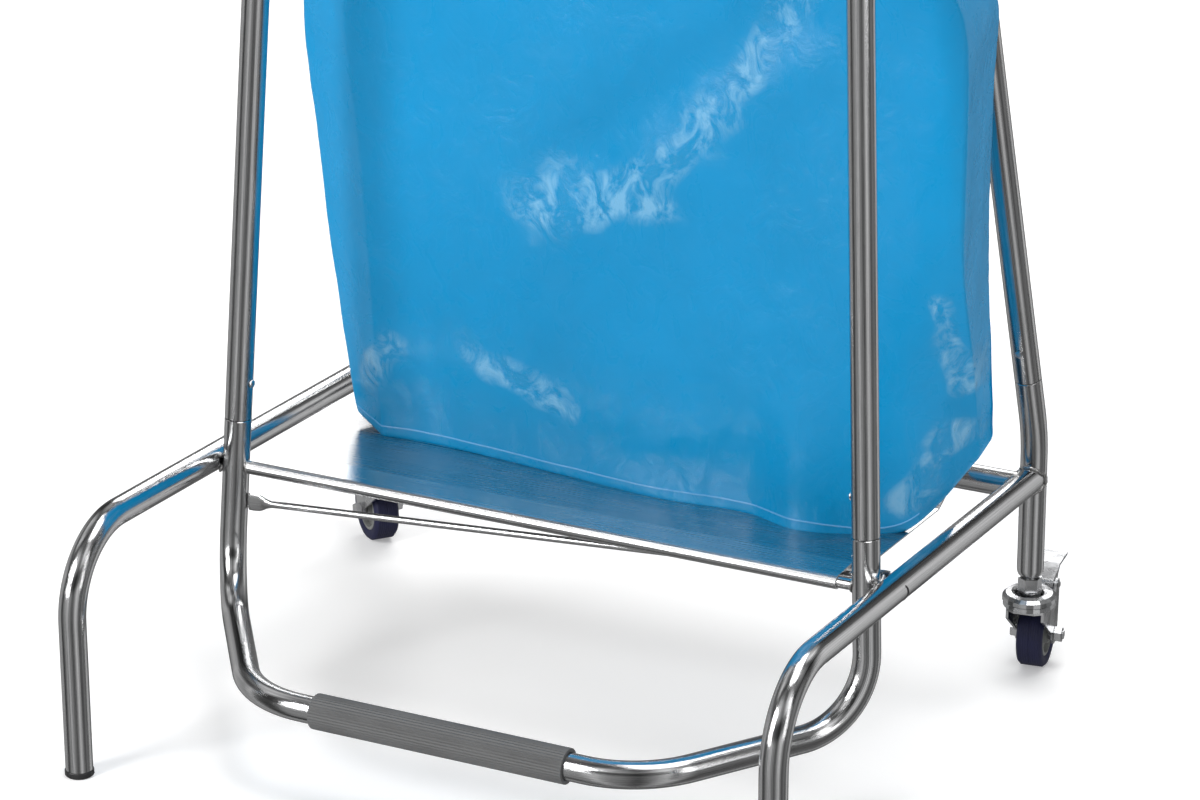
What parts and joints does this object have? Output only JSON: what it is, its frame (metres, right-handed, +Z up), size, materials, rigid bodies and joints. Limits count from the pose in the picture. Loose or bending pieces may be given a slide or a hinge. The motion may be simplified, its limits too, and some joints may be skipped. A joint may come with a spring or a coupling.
{
  "type": "linen trolley",
  "caption": "Tubular linen trolley: A-frame on front feet and braked rear swivel casters, with a foot loop, a bottom tray and a film bag hung from a top ring.",
  "frame": {"origin": "centre of the left foot cap's underside, on the floor", "axes": "+X across to the right foot, +Y from the feet towards the casters, +Z up"},
  "size_m": [0.7898, 0.6782, 0.953],
  "materials": {
    "left_side_rail": "bright chrome plate",
    "left_foot_cap": "satin black",
    "right_side_rail": "bright chrome plate",
    "right_foot_cap": "satin black",
    "foot_loop": "bright chrome plate",
    "foot_loop_grip": "matt ribbed",
    "left_rear_post": "bright chrome plate",
    "right_rear_post": "bright chrome plate",
    "rear_cross_tube": "bright chrome plate",
    "tray_front_rod": "bright chrome plate",
    "brace_rod": "bright chrome plate",
    "tray": "brushed stainless",
    "front_upper_frame": "bright chrome plate",
    "rear_upper_frame": "bright chrome plate",
    "left_front_spigot": "bright zinc plate",
    "left_front_joint_screw": "bright zinc plate",
    "left_front_ring_post": "bright chrome plate",
    "left_rear_spigot": "bright zinc plate",
    "left_rear_joint_screw": "bright zinc plate",
    "left_rear_ring_post": "bright chrome plate",
    "right_front_spigot": "bright zinc plate",
    "right_front_joint_screw": "bright zinc plate",
    "right_front_ring_post": "bright chrome plate",
    "right_rear_spigot": "bright zinc plate",
    "right_rear_joint_screw": "bright zinc plate",
    "right_rear_ring_post": "bright chrome plate",
    "bag_ring": "bright chrome plate",
    "bag": "crinkled glossy film",
    "bag_band": "satin black",
    "left_caster_socket": "bright zinc plate",
    "left_caster_stem": "bright zinc plate",
    "left_caster_inner_race": "bright zinc plate",
    "left_caster_lock_nut": "bright zinc plate",
    "left_caster_fork": "bright zinc plate",
    "left_caster_race_cover": "bright zinc plate",
    "left_caster_ball_cage": "bright zinc plate",
    "left_tyre": "matt navy",
    "left_wheel_hub": "satin grey",
    "left_axle_sleeve": "bright zinc plate",
    "left_axle_bolt": "bright zinc plate",
    "left_axle_nut": "bright zinc plate",
    "left_brake_pedal": "bright zinc plate",
    "left_brake_pin": "bright zinc plate",
    "right_caster_socket": "bright zinc plate",
    "right_caster_stem": "bright zinc plate",
    "right_caster_inner_race": "bright zinc plate",
    "right_caster_lock_nut": "bright zinc plate",
    "right_caster_fork": "bright zinc plate",
    "right_caster_race_cover": "bright zinc plate",
    "right_caster_ball_cage": "bright zinc plate",
    "right_tyre": "matt navy",
    "right_wheel_hub": "satin grey",
    "right_axle_sleeve": "bright zinc plate",
    "right_axle_bolt": "bright zinc plate",
    "right_axle_nut": "bright zinc plate",
    "right_brake_pedal": "bright zinc plate",
    "right_brake_pin": "bright zinc plate"
  },
  "bodies": {
    "frame": {"left_side_rail": "left_side_rail", "left_foot_cap": "left_foot_cap", "right_side_rail": "right_side_rail", "right_foot_cap": "right_foot_cap", "foot_loop": "foot_loop", "foot_loop_grip": "foot_loop_grip", "left_rear_post": "left_rear_post", "right_rear_post": "right_rear_post", "rear_cross_tube": "rear_cross_tube", "tray_front_rod": "tray_front_rod", "brace_rod": "brace_rod", "tray": "tray", "front_upper_frame": "front_upper_frame", "rear_upper_frame": "rear_upper_frame", "left_front_spigot": "left_front_spigot", "left_front_joint_screw": "left_front_joint_screw", "left_front_ring_post": "left_front_ring_post", "left_rear_spigot": "left_rear_spigot", "left_rear_joint_screw": "left_rear_joint_screw", "left_rear_ring_post": "left_rear_ring_post", "right_front_spigot": "right_front_spigot", "right_front_joint_screw": "right_front_joint_screw", "right_front_ring_post": "right_front_ring_post", "right_rear_spigot": "right_rear_spigot", "right_rear_joint_screw": "right_rear_joint_screw", "right_rear_ring_post": "right_rear_ring_post", "bag_ring": "bag_ring", "bag": "bag", "bag_band": "bag_band", "left_caster_socket": "left_caster_socket", "left_caster_stem": "left_caster_stem", "left_caster_inner_race": "left_caster_inner_race", "left_caster_lock_nut": "left_caster_lock_nut", "right_caster_socket": "right_caster_socket", "right_caster_stem": "right_caster_stem", "right_caster_inner_race": "right_caster_inner_race", "right_caster_lock_nut": "right_caster_lock_nut"},
    "left_fork": {"left_caster_fork": "left_caster_fork", "left_caster_race_cover": "left_caster_race_cover", "left_caster_ball_cage": "left_caster_ball_cage", "left_axle_sleeve": "left_axle_sleeve", "left_axle_bolt": "left_axle_bolt", "left_axle_nut": "left_axle_nut", "left_brake_pin": "left_brake_pin"},
    "left_wheel": {"left_tyre": "left_tyre", "left_wheel_hub": "left_wheel_hub"},
    "left_pedal": {"left_brake_pedal": "left_brake_pedal"},
    "right_fork": {"right_caster_fork": "right_caster_fork", "right_caster_race_cover": "right_caster_race_cover", "right_caster_ball_cage": "right_caster_ball_cage", "right_axle_sleeve": "right_axle_sleeve", "right_axle_bolt": "right_axle_bolt", "right_axle_nut": "right_axle_nut", "right_brake_pin": "right_brake_pin"},
    "right_wheel": {"right_tyre": "right_tyre", "right_wheel_hub": "right_wheel_hub"},
    "right_pedal": {"right_brake_pedal": "right_brake_pedal"}
  },
  "joints": [
    {"name": "left_swivel", "type": "hinge", "parent": "frame", "child": "left_fork", "pos_m": [0, 0.571, 0.078], "axis": [0, 0, 1], "continuous": true},
    {"name": "left_wheel_spin", "type": "hinge", "parent": "left_fork", "child": "left_wheel", "pos_m": [-0.02451, 0.59157, 0.0325], "axis": [0.6428, 0.766, 0], "continuous": true},
    {"name": "left_brake_press", "type": "hinge", "parent": "left_fork", "child": "left_pedal", "pos_m": [-0.03064, 0.59671, 0.08], "axis": [0.6428, 0.766, 0], "range_deg": [-12, 0]},
    {"name": "right_swivel", "type": "hinge", "parent": "frame", "child": "right_fork", "pos_m": [0.684, 0.571, 0.078], "axis": [0, 0, 1], "continuous": true},
    {"name": "right_wheel_spin", "type": "hinge", "parent": "right_fork", "child": "right_wheel", "pos_m": [0.67955, 0.60269, 0.0325], "axis": [0.9903, 0.1392, 0], "continuous": true},
    {"name": "right_brake_press", "type": "hinge", "parent": "right_fork", "child": "right_pedal", "pos_m": [0.67843, 0.61061, 0.08], "axis": [0.9903, 0.1392, 0], "range_deg": [-12, 0]}
  ]
}
